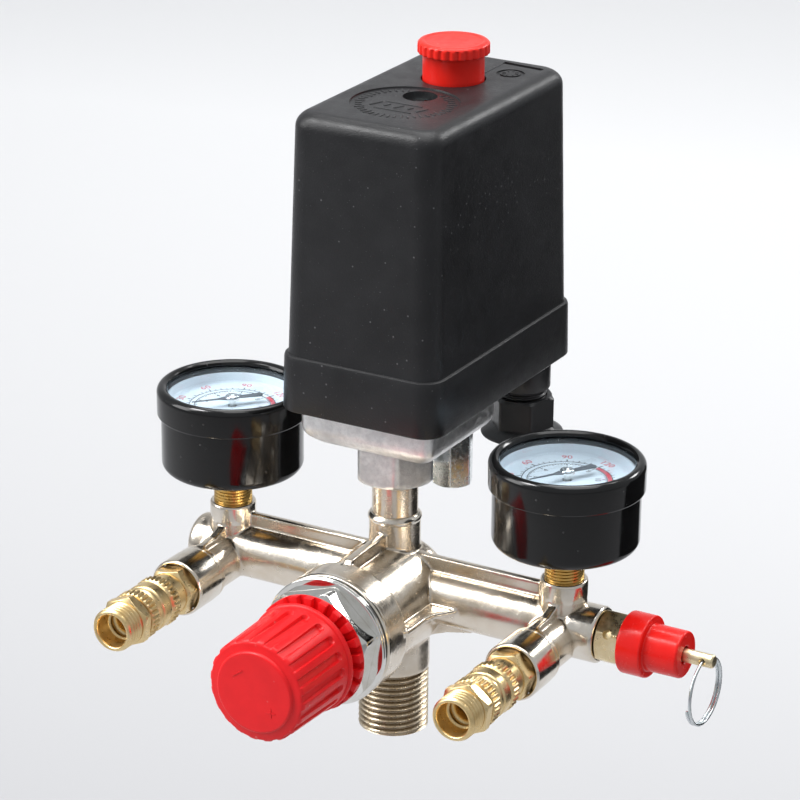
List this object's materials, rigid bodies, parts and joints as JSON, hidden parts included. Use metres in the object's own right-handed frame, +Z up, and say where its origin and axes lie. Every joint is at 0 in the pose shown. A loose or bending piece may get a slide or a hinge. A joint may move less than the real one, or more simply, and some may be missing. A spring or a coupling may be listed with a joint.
{
  "type": "pressure_switch",
  "caption": "air compressor pressure switch on a plated regulator manifold, with gauges, brass outlet couplers, a red regulator knob and a ring-pull safety valve",
  "frame": {"origin": "centre of the open end of the tank inlet thread", "axes": "+X along the manifold bar to the safety valve, -Y to the regulator knob and outlets, +Z up along the tank thread"},
  "size_m": [0.1826, 0.1423, 0.204],
  "materials": {
    "nickel_casting": "nickel plate over a zinc casting",
    "chrome_plate": "bright polished plate",
    "brass_metal": "turned brass",
    "zinc_steel": "bright zinc plate",
    "spring_steel": "oiled spring wire",
    "cast_aluminium": "rough die casting",
    "black_plastic": "satin spark-textured moulding",
    "black_gloss": "gloss black enamel",
    "clear_lens": "clear",
    "dial_white": "printed white dial",
    "pointer_black": "black lacquer",
    "red_plastic": "satin red nylon",
    "bright_red_plastic": "smooth red moulding",
    "switch_plastic": "moulded thermoset",
    "black_rubber": "nitrile sheet"
  },
  "bodies": {
    "housing": {"manifold_body": "nickel_casting", "regulator_bonnet": "chrome_plate", "lock_ring": "red_plastic", "regulator_diaphragm": "black_rubber", "diaphragm_plate": "brass_metal", "regulator_spring": "spring_steel", "poppet_spring": "spring_steel", "relief_body": "brass_metal", "relief_cap": "red_plastic", "relief_spring": "spring_steel", "switch_cover": "black_plastic", "cover_screw": "zinc_steel", "cast_flange": "cast_aluminium", "flange_screws": "zinc_steel", "base_plate": "zinc_steel", "pivot_pin": "zinc_steel", "pressure_diaphragm": "black_rubber", "adjusting_stud": "zinc_steel", "spring_seat": "zinc_steel", "adjusting_nut": "zinc_steel", "main_spring": "spring_steel", "contact_block": "switch_plastic", "terminal_screws": "brass_metal", "unloader_body": "brass_metal", "unloader_nut": "zinc_steel", "gland_body": "black_plastic", "gland_nut": "black_plastic", "gauge_case_left": "black_gloss", "gauge_bezel_left": "black_gloss", "gauge_lens_left": "clear_lens", "gauge_dial_left": "dial_white", "gauge_socket_left": "brass_metal", "gauge_movement_left": "brass_metal", "coupler_adapter_left": "brass_metal", "outlet_nipple_left": "brass_metal", "gauge_case_right": "black_gloss", "gauge_bezel_right": "black_gloss", "gauge_lens_right": "clear_lens", "gauge_dial_right": "dial_white", "gauge_socket_right": "brass_metal", "gauge_movement_right": "brass_metal", "coupler_adapter_right": "brass_metal", "outlet_nipple_right": "brass_metal"},
    "adjusting_screw": {"adjusting_stem": "zinc_steel"},
    "knob": {"regulator_knob": "red_plastic"},
    "range_nut": {"spring_nut": "brass_metal"},
    "poppet": {"poppet_valve": "brass_metal"},
    "needle_left": {"gauge_pointer_left": "pointer_black"},
    "needle_right": {"gauge_pointer_right": "pointer_black"},
    "quadrant_left": {"gauge_sector_left": "brass_metal"},
    "quadrant_right": {"gauge_sector_right": "brass_metal"},
    "sleeve_left": {"knurled_sleeve_left": "brass_metal"},
    "sleeve_right": {"knurled_sleeve_right": "brass_metal"},
    "safety_stem": {"relief_stem": "brass_metal"},
    "safety_ring": {"pull_ring": "zinc_steel"},
    "button": {"start_stop_button": "bright_red_plastic"},
    "piston": {"diaphragm_piston": "brass_metal"},
    "lever": {"main_lever": "zinc_steel"},
    "bridge": {"contact_bridge": "brass_metal"},
    "unloader": {"unloader_pin": "brass_metal"}
  },
  "joints": [
    {"name": "regulator_turn", "type": "hinge", "parent": "housing", "child": "adjusting_screw", "pos_m": [0, -0.06, 0.043], "axis": [0, 1, 0], "range_deg": [0, 1440]},
    {"name": "knob_lock", "type": "slide", "parent": "adjusting_screw", "child": "knob", "axis": [0, 1, 0], "range_m": [0, 0.002]},
    {"name": "range_nut_travel", "type": "slide", "parent": "housing", "child": "range_nut", "axis": [0, 1, 0], "range_m": [0, 0.004], "deforming": ["regulator_spring"]},
    {"name": "poppet_lift", "type": "slide", "parent": "housing", "child": "poppet", "axis": [0, 1, 0], "range_m": [0, 0.001], "stiffness_N_per_m": 400, "springref_m": -0.001, "deforming": ["poppet_spring"]},
    {"name": "safety_stem_pull", "type": "slide", "parent": "housing", "child": "safety_stem", "axis": [1, 0, 0], "range_m": [0, 0.003], "stiffness_N_per_m": 800, "springref_m": -0.004, "deforming": ["relief_spring"]},
    {"name": "pull_ring_swing", "type": "hinge", "parent": "safety_stem", "child": "safety_ring", "pos_m": [0.101, 0, 0.0453], "axis": [0, 1, 0], "range_deg": [-60, 45]},
    {"name": "button_press", "type": "slide", "parent": "housing", "child": "button", "axis": [0, 0, 1], "range_m": [-0.006, 0]},
    {"name": "lever_swing", "type": "hinge", "parent": "housing", "child": "lever", "pos_m": [0, -0.017, 0.1123], "axis": [1, 0, 0], "range_deg": [0, 4.25], "stiffness_Nm_per_rad": 2, "springref_deg": -2.86, "deforming": ["main_spring"]},
    {"name": "piston_lift", "type": "slide", "parent": "housing", "child": "piston", "axis": [0, 0, 1], "range_m": [0, 0.001]},
    {"name": "bridge_lift", "type": "slide", "parent": "housing", "child": "bridge", "axis": [0, 0, 1], "range_m": [0, 0.0047]},
    {"name": "unloader_lift", "type": "slide", "parent": "housing", "child": "unloader", "axis": [0, 0, 1], "range_m": [0, 0.0025]},
    {"name": "quadrant_left_swing", "type": "hinge", "parent": "housing", "child": "quadrant_left", "pos_m": [-0.068, 0, 0.085], "axis": [0, 0, 1], "range_deg": [0, 50]},
    {"name": "needle_left_sweep", "type": "hinge", "parent": "housing", "child": "needle_left", "pos_m": [-0.056, 0, 0.092], "axis": [0, 0, -1], "range_deg": [0, 250]},
    {"name": "sleeve_left_spin", "type": "hinge", "parent": "housing", "child": "sleeve_left", "pos_m": [-0.056, -0.048, 0.0434], "axis": [0, 1, 0], "continuous": true},
    {"name": "quadrant_right_swing", "type": "hinge", "parent": "housing", "child": "quadrant_right", "pos_m": [0.044, 0, 0.085], "axis": [0, 0, 1], "range_deg": [0, 50]},
    {"name": "needle_right_sweep", "type": "hinge", "parent": "housing", "child": "needle_right", "pos_m": [0.056, 0, 0.092], "axis": [0, 0, -1], "range_deg": [0, 250]},
    {"name": "sleeve_right_spin", "type": "hinge", "parent": "housing", "child": "sleeve_right", "pos_m": [0.056, -0.048, 0.0434], "axis": [0, 1, 0], "continuous": true}
  ],
  "couplings": [
    {"joint": "range_nut_travel", "follows": "regulator_turn", "m_per_rad": 0.000159},
    {"joint": "piston_lift", "follows": "lever_swing", "m_per_rad": 0.0134},
    {"joint": "bridge_lift", "follows": "lever_swing", "m_per_rad": 0.062},
    {"joint": "unloader_lift", "follows": "lever_swing", "m_per_rad": 0.0323},
    {"joint": "needle_left_sweep", "follows": "quadrant_left_swing", "ratio": 5},
    {"joint": "needle_right_sweep", "follows": "quadrant_right_swing", "ratio": 5}
  ]
}
